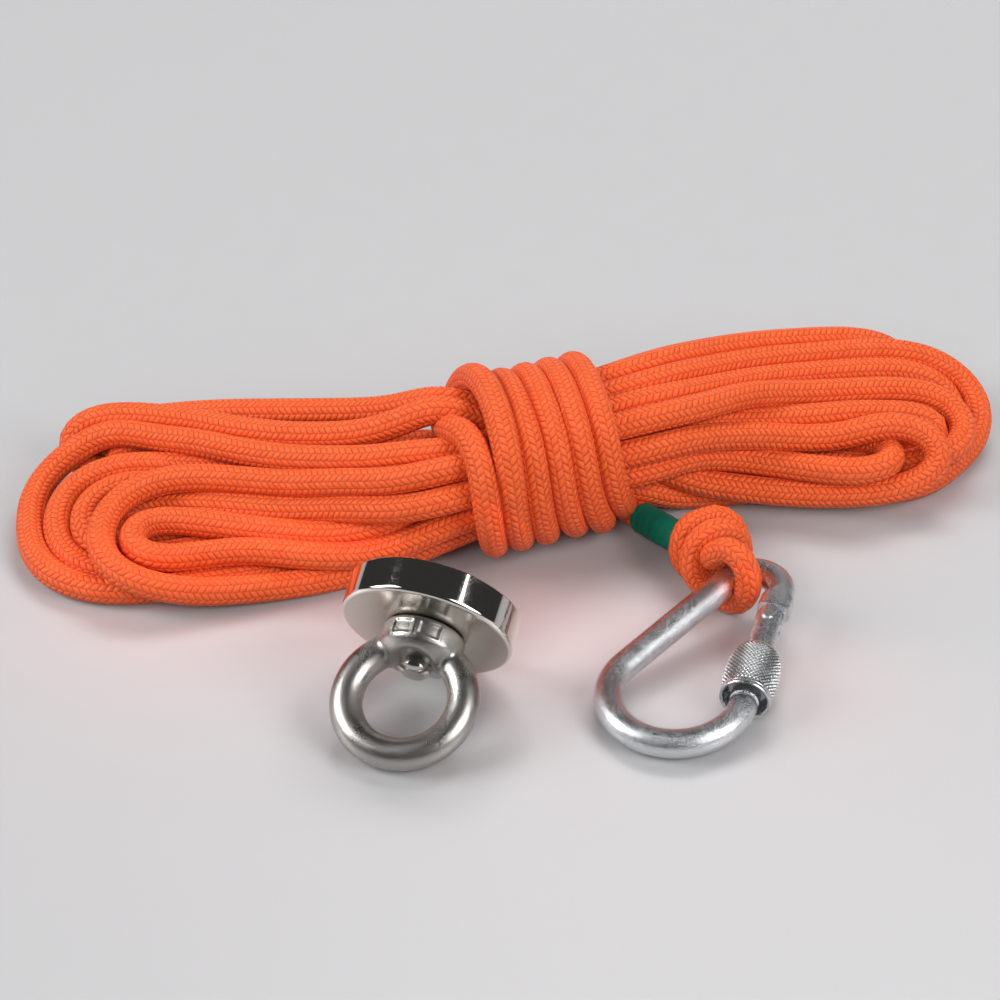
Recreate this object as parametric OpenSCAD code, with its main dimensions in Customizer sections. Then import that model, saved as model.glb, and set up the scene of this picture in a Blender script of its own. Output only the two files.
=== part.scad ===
// Magnet fishing magnet: a pot magnet with an eye nut, lying on its rim and its ring,
// beside a hank of braided rope that ends in a knot round a screw-lock snap hook.
// Millimetres, +Z up. The origin is the bottom centre of the magnet's box on the floor.
// The magnet's ring points towards -Y, and YZ is the magnet's plane of symmetry.

/* [Magnet] */
// Outside diameter of the steel pot
pot_d = 42; // [38:0.5:48]
// Depth of the pot along its axis
pot_h = 8.8; // [8:0.2:12]
// Rounding of the pot's edge on the eye side
pot_round = 1; // [0.6:0.1:1.6]
// Chamfer of the pot's edge on the attracting side
pot_chamfer = 0.4; // [0.2:0.1:0.8]
// Thickness of the pot's floor
pot_floor = 3; // [2.5:0.1:3.4]
// Thickness of the pot's rim
rim_t = 2.4; // [2:0.1:3]
// Outside diameter of the pole boss round the screw
boss_d = 19.2; // [18:0.2:20]
// Radial width of each resin ring
resin_t = 0.8; // [0.4:0.1:1.2]
// How far the magnet and the resin lie below the attracting face
magnet_sink = 0.4; // [0.2:0.1:0.8]

/* [Screw and eye nut] */
// Diameter of the screw's plain shank, which stands for its thread
screw_d = 7.94; // [7.9:0.01:7.96]
// Diameter of the hole in the eye nut
nut_bore_d = 8; // [8:0.01:8.1]
// Diameter of the countersunk head
head_d = 15.8; // [14.5:0.1:16]
// Length of the screw over its head
screw_len = 20; // [18:0.5:22]
// Width across the flats of the hexagon socket
socket_af = 5; // [4:0.5:6]
// Depth of the hexagon socket
socket_depth = 3; // [2:0.1:3.4]
// Outside diameter of the ring
eye_od = 36; // [34:0.5:40]
// Thickness of the ring's bar
eye_bar = 8; // [7:0.2:9]
// Diameter of the collar
collar_d = 20; // [18:0.5:21]
// Height of the collar's straight side
collar_h = 6; // [5:0.2:7]
// Dark step at the foot of the collar
collar_foot = 0.4; // [0.2:0.1:0.8]
// Depth of the two plain recessed panels on the collar
panel_depth = 0.3; // [0.2:0.1:0.5]

/* [Snap hook] */
// Thickness of the hook's bar
bar_d = 7; // [6.6:0.1:7.2]
// Radius of the big end's centreline
big_r = 16.15; // [15.5:0.05:16.5]
// Distance from the big end's centre to the small end's centre
hook_span = 39.2; // [38:0.1:41]
// Radius of the small end's centreline
small_r = 7; // [6.8:0.1:7.4]
// Thickness of the flat tongue that carries the gate
tongue_t = 3; // [2.8:0.1:3.2]
// Radius of the tongue's end round the rivet
tongue_r = 3.4; // [3.2:0.05:3.5]
// Distance from the rivet's axis to the tongue's flat
tongue_flat = 2.6; // [2.5:0.05:2.8]
// Diameter of the rivet
rivet_d = 2.9; // [2.6:0.05:3]
// Running clearance of the rivet in the tongue, on the radius
rivet_gap = 0.05; // [0.03:0.01:0.08]
// Side clearance of the tongue in the gate's fork
fork_gap = 0.06; // [0.04:0.01:0.1]
// Gap between the gate's front and the nose
nose_gap = 0.3; // [0.26:0.01:0.4]

/* [Lock sleeve] */
// Largest diameter of the knurled sleeve
sleeve_d = 13.6; // [13:0.1:13.6]
// Outside diameter of the sleeve's mouth
mouth_d = 12.4; // [12:0.1:12.6]
// Inside diameter of the sleeve's mouth
mouth_bore_d = 10.8; // [10.2:0.1:11]
// Length of the sleeve
sleeve_len = 16.2; // [15:0.2:16.4]
// Depth of the sleeve's wide mouth
mouth_depth = 5.6; // [5:0.1:6.5]
// Running clearance of the sleeve on the gate, on the radius
sleeve_gap = 0.04; // [0.03:0.01:0.08]
// Distance from the sleeve's mouth back to the nose when it is unlocked
sleeve_back = 0.85; // [0.82:0.01:1]

/* [Gate spring] */
// Diameter of the spring plunger
plunger_d = 3; // [2.8:0.05:3.1]
// Running clearance of the plunger in the gate, on the radius
plunger_gap = 0.03; // [0.02:0.01:0.06]
// Thickness of the spring's wire
spring_wire = 0.44; // [0.36:0.02:0.48]
// Number of turns of the spring
spring_turns = 9; // [7:1:12]

/* [Rope] */
// Thickness of the braided rope
rope_d = 7.2; // [7:0.1:7.4]
// Height of the hank's two lobes at their far ends
lobe_h = 22; // [20:0.5:24]
// Height of the hank's strands beside the wraps
neck_h = 36; // [34:0.5:38]
// Length of hank that the wraps cover
wrap_len = 41; // [40:0.5:42]
// Half width of the wraps
wrap_r = 26.2; // [25.6:0.2:26.6]
// Height of the wraps
wrap_h = 41.4; // [40.8:0.2:42]
// Outside diameter of the shrunk sleeve on the rope's lead
shrink_d = 8; // [7.8:0.1:8.4]

/* [Hidden] */
$fn = 96;
eps = 0.01;

steel_bright = [0.86, 0.86, 0.88];
steel_satin = [0.72, 0.72, 0.72];
zinc = [0.74, 0.76, 0.79];
ferrite = [0.16, 0.16, 0.17];
resin = [0.08, 0.08, 0.09];
orange = [0.92, 0.33, 0.12];
green = [0.05, 0.36, 0.2];

// The magnet rests on the rounded rim of its eye side and on the tip of its ring.
pot_r = pot_d / 2;
ring_r = eye_od / 2 - eye_bar / 2;
tip_x = eye_od - eye_bar / 2;
lean_a = pot_r - pot_round;
lean_b = tip_x + pot_round;
lean = atan2(lean_a, lean_b)
       - asin((eye_bar / 2 - pot_round) / sqrt(lean_a * lean_a + lean_b * lean_b));
face_z = tip_x * sin(lean) + eye_bar / 2;
front_reach = tip_x * cos(lean) + eye_bar / 2;
back_reach = max((pot_h - pot_chamfer) * cos(lean) + pot_r * sin(lean),
                 pot_h * cos(lean) + (pot_r - pot_chamfer) * sin(lean));
face_y = (front_reach - back_reach) / 2;

head_sink = 0.2;
head_land = 0.3;
head_top = -pot_h + head_sink;
cone_start = head_top + head_land;

// The rope and the hook are drawn in a frame of their own, which is then placed.
rope_x = -7.3;
rope_y = 90.3;
rope_turn = 17.25;

// The hook's plane: X along its spine, Y from the gate towards the spine.
hook_at = [40.1, -104.5, 3.67];
hook_heading = 46.8;
hook_pitch = 6.8;
hook_roll = 1.43;
bar_r = bar_d / 2;
big_c = [13, 9.85];
spine_y = big_c[1] + big_r;
small_c = [big_c[0] + hook_span, spine_y - small_r];
nose_angle = 300;
nose = [big_c[0] + big_r * cos(nose_angle), big_c[1] + big_r * sin(nose_angle)];
pivot = [45.5, 8.6];
gate_v = nose - pivot;
gate_len = norm(gate_v);
gate_angle = atan2(gate_v[1], gate_v[0]);
cheek_r = 3.7;
step_r = 4.4;
fork_root = 3.8;
bore_end = 17;
stub_r = 1;
stub_start = tongue_flat + 0.02;
stub_end = 4.4;
plunger_end = 6;
stem_r = 0.8;
stem_end = 8.5;
spring_r = 1.15;
spring_from = plunger_end + spring_wire / 2 + 0.03;
spring_to = bore_end - spring_wire / 2 - 0.03;

// Where the rope's eye runs round the hook's small end.
eye_angle = 61;
eye_at = [small_c[0] + small_r * cos(eye_angle), small_c[1] + small_r * sin(eye_angle)];
eye_big_r = 7;
eye_small_r = 3;

// The hank's frame: X along the hank, Y across it, origin under the middle of the wraps.
hank_at = [10.6, -7.9];
hank_turn = 14;
waist_half = 19;
waist_low = 7.2;
waist_high = 34.2;
corner_r = 12;
left_far = [-99, 18];
left_far_r = 36;
left_near = [-31, -4];
left_near_r = 24;
right_far = [93, 12];
right_far_r = 31;
right_near = [33, 9];
right_near_r = 13;

// The lead runs straight from the last wrap to the knot.
lead_from = [34.2, -7.4, 3.9];
lead_to = [46.8, -29, 8.7];
shrink_from = 5;
shrink_len = 14;
knot_a = [47.5, -33, 9];
knot_a_r = 8.2;
knot_b = [53, -38, 10.5];
knot_b_r = 5.8;

module in_magnet() {
    translate([0, face_y, face_z])
        rotate([90 + lean, 0, 0])
            children();
}

module in_kit() {
    translate([rope_x, rope_y, 0])
        rotate([0, 0, rope_turn])
            children();
}

module in_hook() {
    in_kit()
        translate(hook_at)
            rotate([hook_roll, -hook_pitch, hook_heading])
                children();
}

// X runs from the rivet to the nose, Z is the hook's normal.
module in_gate() {
    in_hook()
        translate([pivot[0], pivot[1], 0])
            rotate([0, 0, gate_angle])
                children();
}

module in_hank() {
    in_kit()
        translate([hank_at[0], hank_at[1], 0])
            rotate([0, 0, hank_turn])
                children();
}

// A round bar between two points, as one polyhedron with flat ends.
function unit(v) = v / norm(v);
function ring_side(t) = unit(abs(t[2]) < 0.9 ? cross(t, [0, 0, 1]) : cross(t, [1, 0, 0]));
function tangent(p, i) = unit(p[min(i + 1, len(p) - 1)] - p[max(i - 1, 0)]);
function ring(p, i, r, sides) =
    let (t = tangent(p, i), a = ring_side(t), b = cross(t, a))
    [for (k = [0 : sides - 1]) p[i] + r * (a * cos(360 * k / sides) + b * sin(360 * k / sides))];
function flat_list(l) = [for (a = l) for (b = a) b];

module tube(p, r, sides) {
    n = len(p);
    points = flat_list([for (i = [0 : n - 1]) ring(p, i, r, sides)]);
    walls = [for (i = [0 : n - 2]) for (k = [0 : sides - 1])
        [i * sides + k, i * sides + (k + 1) % sides,
         (i + 1) * sides + (k + 1) % sides, (i + 1) * sides + k]];
    first = [for (k = [0 : sides - 1]) sides - 1 - k];
    last = [for (k = [0 : sides - 1]) (n - 1) * sides + k];
    polyhedron(points = points, faces = concat([first], walls, [last]), convexity = 4);
}

// Steel cup with the pole boss in one piece, open towards the attracting face.
module pot_shell() {
    color(steel_bright)
        in_magnet()
            difference() {
                union() {
                    translate([0, 0, -pot_h])
                        cylinder(h = pot_chamfer, r1 = pot_r - pot_chamfer, r2 = pot_r);
                    translate([0, 0, -pot_h + pot_chamfer])
                        cylinder(h = pot_h - pot_chamfer - pot_round, r = pot_r);
                    translate([0, 0, -pot_round])
                        cylinder(h = pot_round, r = pot_r - pot_round);
                    translate([0, 0, -pot_round])
                        rotate_extrude()
                            translate([pot_r - pot_round, 0])
                                circle(r = pot_round);
                }
                difference() {
                    translate([0, 0, -pot_h - eps])
                        cylinder(h = pot_h - pot_floor + eps, r = pot_r - rim_t);
                    translate([0, 0, -pot_h - 1])
                        cylinder(h = pot_h, r = boss_d / 2);
                }
                translate([0, 0, -pot_h - 1])
                    cylinder(h = pot_h + 2, r = screw_d / 2 + 0.08);
                translate([0, 0, -pot_h])
                    cylinder(h = head_d / 2 + 0.52 - screw_d / 2 - 0.08,
                             r1 = head_d / 2 + 0.52, r2 = screw_d / 2 + 0.08);
            }
}

module pot_ring(inner, outer) {
    in_magnet()
        translate([0, 0, -pot_h + magnet_sink])
            difference() {
                cylinder(h = pot_h - pot_floor - magnet_sink, r = outer);
                translate([0, 0, -1])
                    cylinder(h = pot_h + 2, r = inner);
            }
}

module ring_magnet() {
    color(ferrite)
        pot_ring(boss_d / 2 + resin_t, pot_r - rim_t - resin_t);
}

module resin_outer() {
    color(resin)
        pot_ring(pot_r - rim_t - resin_t, pot_r - rim_t);
}

module resin_inner() {
    color(resin)
        pot_ring(boss_d / 2, boss_d / 2 + resin_t);
}

// Countersunk screw: its tip stands a little way into the ring.
module stud_screw() {
    cone_h = head_d / 2 - screw_d / 2;
    tip = head_top + screw_len;
    color(steel_satin)
        in_magnet()
            difference() {
                union() {
                    translate([0, 0, head_top])
                        cylinder(h = head_land, r = head_d / 2);
                    translate([0, 0, cone_start])
                        cylinder(h = cone_h, r1 = head_d / 2, r2 = screw_d / 2);
                    translate([0, 0, cone_start])
                        cylinder(h = tip - cone_start - 1, r = screw_d / 2);
                    translate([0, 0, tip - 1])
                        cylinder(h = 1, r1 = screw_d / 2, r2 = screw_d / 2 - 1);
                }
                translate([0, 0, head_top - 1])
                    cylinder(h = socket_depth + 1, r = socket_af / sqrt(3), $fn = 6);
            }
}

module eye_nut() {
    shoulder_r = 6.5;
    shoulder_h = 3.5;
    color(steel_satin)
        in_magnet()
            difference() {
                union() {
                    translate([0, 0, eye_od / 2])
                        rotate([90, 0, 0])
                            rotate_extrude()
                                translate([ring_r, 0])
                                    circle(r = eye_bar / 2);
                    difference() {
                        union() {
                            cylinder(h = collar_foot, r1 = collar_d / 2 - collar_foot, r2 = collar_d / 2);
                            translate([0, 0, collar_foot])
                                cylinder(h = collar_h - collar_foot, r = collar_d / 2);
                            translate([0, 0, collar_h])
                                cylinder(h = shoulder_h, r1 = collar_d / 2, r2 = shoulder_r);
                        }
                        translate([0, 0, eye_od / 2])
                            rotate([90, 0, 0])
                                cylinder(h = collar_d + 2, r = eye_od / 2 - eye_bar, center = true);
                        for (side = [-1, 1])
                            translate([0, side * (collar_d / 2 + 1 - panel_depth), 3])
                                cube([9, 2, 3.2], center = true);
                    }
                }
                translate([0, 0, -1])
                    cylinder(h = 12, r = nut_bore_d / 2);
            }
}

// The bent bar, its wide end, and the flat tongue that the gate's fork holds.
module hook_body() {
    color(zinc)
        in_hook()
            difference() {
                union() {
                    translate([big_c[0], spine_y, 0])
                        rotate([0, 90, 0])
                            cylinder(h = hook_span, r = bar_r);
                    translate([big_c[0], big_c[1], 0])
                        rotate([0, 0, 90])
                            rotate_extrude(angle = nose_angle - 90)
                                translate([big_r, 0])
                                    circle(r = bar_r);
                    translate([small_c[0], small_c[1], 0])
                        rotate([0, 0, 90])
                            rotate_extrude(angle = -150)
                                translate([small_r, 0])
                                    circle(r = bar_r);
                    difference() {
                        translate([0, 0, -3.1])
                            linear_extrude(height = 6.2)
                                hull() {
                                    translate([54.6, 12.3])
                                        circle(r = 3.2, $fn = 32);
                                    translate([51.6, 9])
                                        circle(r = tongue_r, $fn = 32);
                                }
                        translate([pivot[0], pivot[1], -5])
                            cylinder(h = 10, r = step_r);
                    }
                    difference() {
                        translate([0, 0, -tongue_t / 2])
                            linear_extrude(height = tongue_t)
                                hull() {
                                    translate([54, 12])
                                        circle(r = 3, $fn = 32);
                                    translate([51, 9])
                                        circle(r = 3.3, $fn = 32);
                                    translate([pivot[0], pivot[1]])
                                        circle(r = tongue_r, $fn = 64);
                                }
                        translate([pivot[0], pivot[1], 0])
                            rotate([0, 0, gate_angle])
                                translate([tongue_flat, -5, -5])
                                    cube([5, 10, 10]);
                    }
                }
                translate([pivot[0], pivot[1], -5])
                    cylinder(h = 10, r = rivet_d / 2 + rivet_gap);
            }
}

// The gate: a round bar with a forked end, bored for its spring.
module gate() {
    front = gate_len - nose_gap;
    color(zinc)
        in_gate()
            difference() {
                union() {
                    rotate([0, 90, 0])
                        cylinder(h = front - 0.4, r = bar_r);
                    translate([front - 0.4, 0, 0])
                        rotate([0, 90, 0])
                            cylinder(h = 0.4, r1 = bar_r, r2 = bar_r - 0.4);
                    intersection() {
                        translate([-cheek_r, 0, 0])
                            rotate([0, 90, 0])
                                cylinder(h = cheek_r + 1, r = bar_r);
                        cylinder(h = 10, r = cheek_r, center = true);
                    }
                }
                translate([-6, -5, -tongue_t / 2 - fork_gap])
                    cube([6 + fork_root, 10, tongue_t + 2 * fork_gap]);
                cylinder(h = 10, r = rivet_d / 2, center = true);
                translate([fork_root - 1, 0, 0])
                    rotate([0, 90, 0])
                        cylinder(h = bore_end - fork_root + 1, r = plunger_d / 2 + plunger_gap);
            }
}

module gate_pin() {
    color(steel_bright)
        in_gate()
            union() {
                cylinder(h = 7, r = rivet_d / 2, center = true);
                translate([0, 0, 3.5])
                    cylinder(h = 0.3, r1 = rivet_d / 2, r2 = rivet_d / 2 - 0.4);
                translate([0, 0, -3.8])
                    cylinder(h = 0.3, r1 = rivet_d / 2 - 0.4, r2 = rivet_d / 2);
            }
}

module gate_spring() {
    steps = spring_turns * 8;
    path = [for (i = [0 : steps])
        [spring_from + (spring_to - spring_from) * i / steps,
         spring_r * cos(45 * i), spring_r * sin(45 * i)]];
    color(steel_satin)
        in_gate()
            tube(path, spring_wire / 2, 6);
}

module gate_plunger() {
    color(steel_satin)
        in_gate()
            rotate([0, 90, 0])
                union() {
                    translate([0, 0, stub_start])
                        cylinder(h = stub_end - stub_start + eps, r = stub_r);
                    translate([0, 0, stub_end])
                        cylinder(h = plunger_end - stub_end, r = plunger_d / 2);
                    translate([0, 0, plunger_end - eps])
                        cylinder(h = stem_end - plunger_end, r = stem_r);
                }
}

// Barrel-shaped sleeve that runs over the nose to lock the gate.
module lock_sleeve() {
    back = gate_len - sleeve_back - sleeve_len;
    run_r = bar_r + sleeve_gap;
    bore_l = sleeve_len - mouth_depth;
    color(zinc)
        in_gate()
            translate([back, 0, 0])
                rotate([0, 90, 0])
                    rotate_extrude()
                        polygon([
                            [run_r, 0], [4.5, 0], [5, 0.5], [5.5, 1.6],
                            [6.1, 3.4], [sleeve_d / 2 - 0.25, 5.6], [sleeve_d / 2, 8],
                            [sleeve_d / 2, 10], [sleeve_d / 2 - 0.15, 12.4],
                            [mouth_d / 2 + 0.1, sleeve_len - 1.4], [mouth_d / 2 - 0.1, sleeve_len - 1.1],
                            [mouth_d / 2, sleeve_len - 0.8], [mouth_d / 2, sleeve_len - 0.2],
                            [mouth_d / 2 - 0.2, sleeve_len], [mouth_bore_d / 2, sleeve_len],
                            [mouth_bore_d / 2, bore_l + 0.9], [run_r + 0.4, bore_l], [run_r, bore_l]
                        ]);
}

module round_block(half, low, high, r) {
    hull()
        for (y = [-half + r, half - r])
            for (z = [low + r, high - r])
                translate([y, z])
                    circle(r = r, $fn = 32);
}

// Strands that spread and come down from the waist to a wide, low end.
module lobe(far, far_r, near, near_r) {
    side = far[0] > 0 ? 1 : -1;
    difference() {
        hull() {
            translate(far)
                cylinder(h = lobe_h, r = far_r, $fn = 64);
            translate(near)
                cylinder(h = neck_h, r = near_r, $fn = 32);
        }
        translate([side * (wrap_len / 2 - 50), 0, 30])
            cube([100, 120, 62], center = true);
    }
}

// The strands of the hank: two lobes on the floor and the raised waist between them.
module rope_hank() {
    color(orange)
        in_hank()
            union() {
                lobe(left_far, left_far_r, left_near, left_near_r);
                lobe(right_far, right_far_r, right_near, right_near_r);
                translate([-wrap_len / 2 - 1, 0, 0])
                    rotate([90, 0, 90])
                        linear_extrude(height = wrap_len + 2)
                            round_block(waist_half, waist_low, waist_high, corner_r);
            }
}

module rope_wraps() {
    color(orange)
        in_hank()
            translate([-wrap_len / 2, 0, 0])
                rotate([90, 0, 90])
                    linear_extrude(height = wrap_len)
                        difference() {
                            round_block(wrap_r, 0, wrap_h, 18);
                            round_block(waist_half, waist_low, waist_high, corner_r);
                        }
}

module rope_lead() {
    color(orange)
        in_kit()
            tube([for (i = [0 : 4]) lead_from + (lead_to - lead_from) * i / 4], rope_d / 2, 12);
}

module heat_shrink() {
    v = unit(lead_to - lead_from);
    color(green)
        in_kit()
            translate(lead_from + v * shrink_from)
                rotate([0, acos(v[2]), atan2(v[1], v[0])])
                    difference() {
                        cylinder(h = shrink_len, r = shrink_d / 2);
                        translate([0, 0, -1])
                            cylinder(h = shrink_len + 2, r = rope_d / 2 + 0.01);
                    }
}

module rope_knot() {
    color(orange)
        in_kit()
            hull() {
                translate(knot_a)
                    sphere(r = knot_a_r, $fn = 24);
                translate(knot_b)
                    sphere(r = knot_b_r, $fn = 24);
            }
}

module rope_eye() {
    color(orange)
        in_hook()
            translate([eye_at[0], eye_at[1], 0])
                rotate([0, 0, eye_angle - 90])
                    rotate([0, 90, 0])
                        rotate_extrude()
                            translate([eye_big_r, 0])
                                circle(r = eye_small_r);
}

pot_shell();
ring_magnet();
resin_outer();
resin_inner();
stud_screw();
eye_nut();
hook_body();
gate();
gate_pin();
gate_spring();
gate_plunger();
lock_sleeve();
rope_hank();
rope_wraps();
rope_lead();
heat_shrink();
rope_knot();
rope_eye();
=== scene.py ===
# %% [markdown]
# # Magnet fishing magnet
# A pot magnet with an eye nut lies beside a hank of braided rope that ends in a knot round a snap hook.
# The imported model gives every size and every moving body, and this script gives each piece its finished
# surface. Shapes are worked out in millimetres with numpy, in the frame each piece was designed in, and
# turned into metres only when they become a mesh.

import bpy
import numpy as np
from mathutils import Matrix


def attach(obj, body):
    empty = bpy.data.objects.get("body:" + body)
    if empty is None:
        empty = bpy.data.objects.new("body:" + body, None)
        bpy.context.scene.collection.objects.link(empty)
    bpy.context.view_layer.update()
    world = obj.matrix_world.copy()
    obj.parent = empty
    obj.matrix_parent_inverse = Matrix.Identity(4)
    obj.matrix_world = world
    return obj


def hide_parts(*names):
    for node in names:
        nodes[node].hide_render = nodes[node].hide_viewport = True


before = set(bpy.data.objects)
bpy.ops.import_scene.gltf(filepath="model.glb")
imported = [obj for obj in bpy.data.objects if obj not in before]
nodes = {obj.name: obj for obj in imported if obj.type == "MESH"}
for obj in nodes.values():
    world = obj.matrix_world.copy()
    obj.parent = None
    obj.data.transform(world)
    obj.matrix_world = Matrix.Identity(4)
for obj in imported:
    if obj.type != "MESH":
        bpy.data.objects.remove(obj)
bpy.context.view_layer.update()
MM = 0.001

# %% [markdown]
# ## Frames to work in
# The magnet leans on its rim and its ring, and the hook lies tilted on the floor. Each has axes of its own
# in which its shape is simple. A frame is kept as an origin and a 3 by 3 matrix whose columns are its axes.
# Points could also be turned one by one, but one matrix product places a whole grid at once.

# %% Design frames
def turn(axis, degrees):
    """Matrix of a turn about X, Y or Z: cosine and sine in the plane of the other two axes."""
    c, s = np.cos(np.radians(degrees)), np.sin(np.radians(degrees))
    i, j = {"x": (1, 2), "y": (2, 0), "z": (0, 1)}[axis]
    m = np.eye(3)
    m[i, i], m[i, j], m[j, i], m[j, j] = c, -s, s, c
    return m


def placed(points, where):
    """Frame coordinates to row coordinates: origin plus the axes times the point."""
    origin, axes = where
    return origin + np.asarray(points, float) @ axes.T


def inside(where, origin, axes):
    """A frame given inside another one: its origin is placed and its axes are turned."""
    return placed(origin, where), where[1] @ axes


POT_R = 21.0
POT_H = 8.8
LEAN = 26.759
ROW = (np.zeros(3), np.eye(3))
MAGNET = inside(ROW, [0, 7.720, 18.408], turn("x", 90 + LEAN))
KIT = inside(ROW, [-7.3, 90.3, 0], turn("z", 17.25))
HOOK = inside(KIT, [40.1, -104.5, 3.67], turn("z", 46.8) @ turn("y", -6.8) @ turn("x", 1.43))
BIG_C, BIG_R = np.array([13.0, 9.85]), 16.15
SMALL_C, SMALL_R = np.array([52.2, 19.0]), 7.0
PIVOT = np.array([45.5, 8.6])
NOSE_TURN = np.radians(300)
NOSE = BIG_C + BIG_R * np.array([np.cos(NOSE_TURN), np.sin(NOSE_TURN)])
GATE_LEN = float(np.hypot(*(NOSE - PIVOT)))
GATE_TURN = float(np.degrees(np.arctan2(*(NOSE - PIVOT)[::-1])))
GATE = inside(HOOK, [*PIVOT, 0], turn("z", GATE_TURN))
print("gate", round(GATE_LEN, 2), "mm long, turned", round(GATE_TURN, 1), "degrees")

# %% [markdown]
# ## Camera
# A long lens about 0.9 m away looks down at 35 degrees, a little from the right of the magnet's own plane.
# A long lens keeps the near ring and the far rope at nearly the same scale, as product pictures do.

# %% Camera
AIM = np.array([-7.3, 90.3, 0.0])
AWAY, SIDE, RISE = 865.0, np.radians(17.25), np.radians(35.0)
eye_at = AIM + AWAY * np.array([np.cos(RISE) * np.sin(SIDE), -np.cos(RISE) * np.cos(SIDE), np.sin(RISE)])
lens = bpy.data.cameras.new("camera")
lens.lens = 120
lens.sensor_width = 36
lens.clip_start = 0.01
camera = bpy.data.objects.new("camera", lens)
camera.location = eye_at * MM
camera.rotation_euler = (np.pi / 2 - RISE, 0, SIDE)
bpy.context.scene.collection.objects.link(camera)
bpy.context.scene.camera = camera
print("camera at", [round(v, 3) for v in camera.location])

# %% [markdown]
# ## Surfaces from grids
# Nearly every piece is a grid of points: rows along its length, columns round it. One helper turns such a
# grid into a mesh, closes it round, caps its ends and keeps a UV map with the distance along it, which the
# braid needs. Each column of faces could be added in a loop, but index arithmetic makes them all at once.

# %% Grid mesh
def grid_faces(rows, cols, closed):
    """Quads of a grid: corner, next column, next row and column, next row; last row may join first."""
    r = np.arange(rows if closed else rows - 1)[:, None]
    c = np.arange(cols)[None, :]
    n, m = (r + 1) % rows, (c + 1) % cols
    return np.stack([r * cols + c, r * cols + m, n * cols + m, n * cols + c], -1).reshape(-1, 4)


def grid_piece(name, grid, closed=False, uv=None, sharp=35):
    """Mesh of a rows x columns x 3 grid in row millimetres. Open ends get a fan round their middle point."""
    rows, cols = grid.shape[:2]
    points = grid.reshape(-1, 3)
    quads = grid_faces(rows, cols, closed)
    faces = quads.tolist()
    if not closed:
        k = np.arange(cols)
        points = np.vstack([points, grid[0].mean(0), grid[-1].mean(0)])
        first, last = rows * cols, rows * cols + 1
        faces += np.stack([(k + 1) % cols, k, np.full(cols, first)], -1).tolist()
        end = (rows - 1) * cols
        faces += np.stack([end + k, end + (k + 1) % cols, np.full(cols, last)], -1).tolist()
    mesh = bpy.data.meshes.new(name)
    mesh.from_pydata((points * MM).tolist(), [], faces)
    if uv is not None:
        layer = mesh.uv_layers.new(name="UVMap")
        along, round_ = uv
        r, c = quads // cols, quads % cols
        wraps = (c == 0) & (c.max(1, keepdims=True) == cols - 1)
        u = np.where(wraps, 1.0, round_[c])
        loops = np.zeros((len(mesh.loops), 2))
        loops[:quads.size] = np.stack([u, along[r]], -1).reshape(-1, 2)
        layer.data.foreach_set("uv", loops.ravel())
    piece = bpy.data.objects.new(name, mesh)
    bpy.context.scene.collection.objects.link(piece)
    mesh.shade_smooth()
    mesh.set_sharp_from_angle(angle=np.radians(sharp))
    print(name, len(mesh.vertices), "points")
    return piece


def revolve(profile, steps):
    """Profile points (radius, height) turned round Z: x = r cos a, y = r sin a, z = height."""
    p = np.asarray(profile, float)
    a = np.arange(steps) * 2 * np.pi / steps
    return np.stack([p[:, :1] * np.cos(a), p[:, :1] * np.sin(a), p[:, 1:] + 0 * a], -1)
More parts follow.
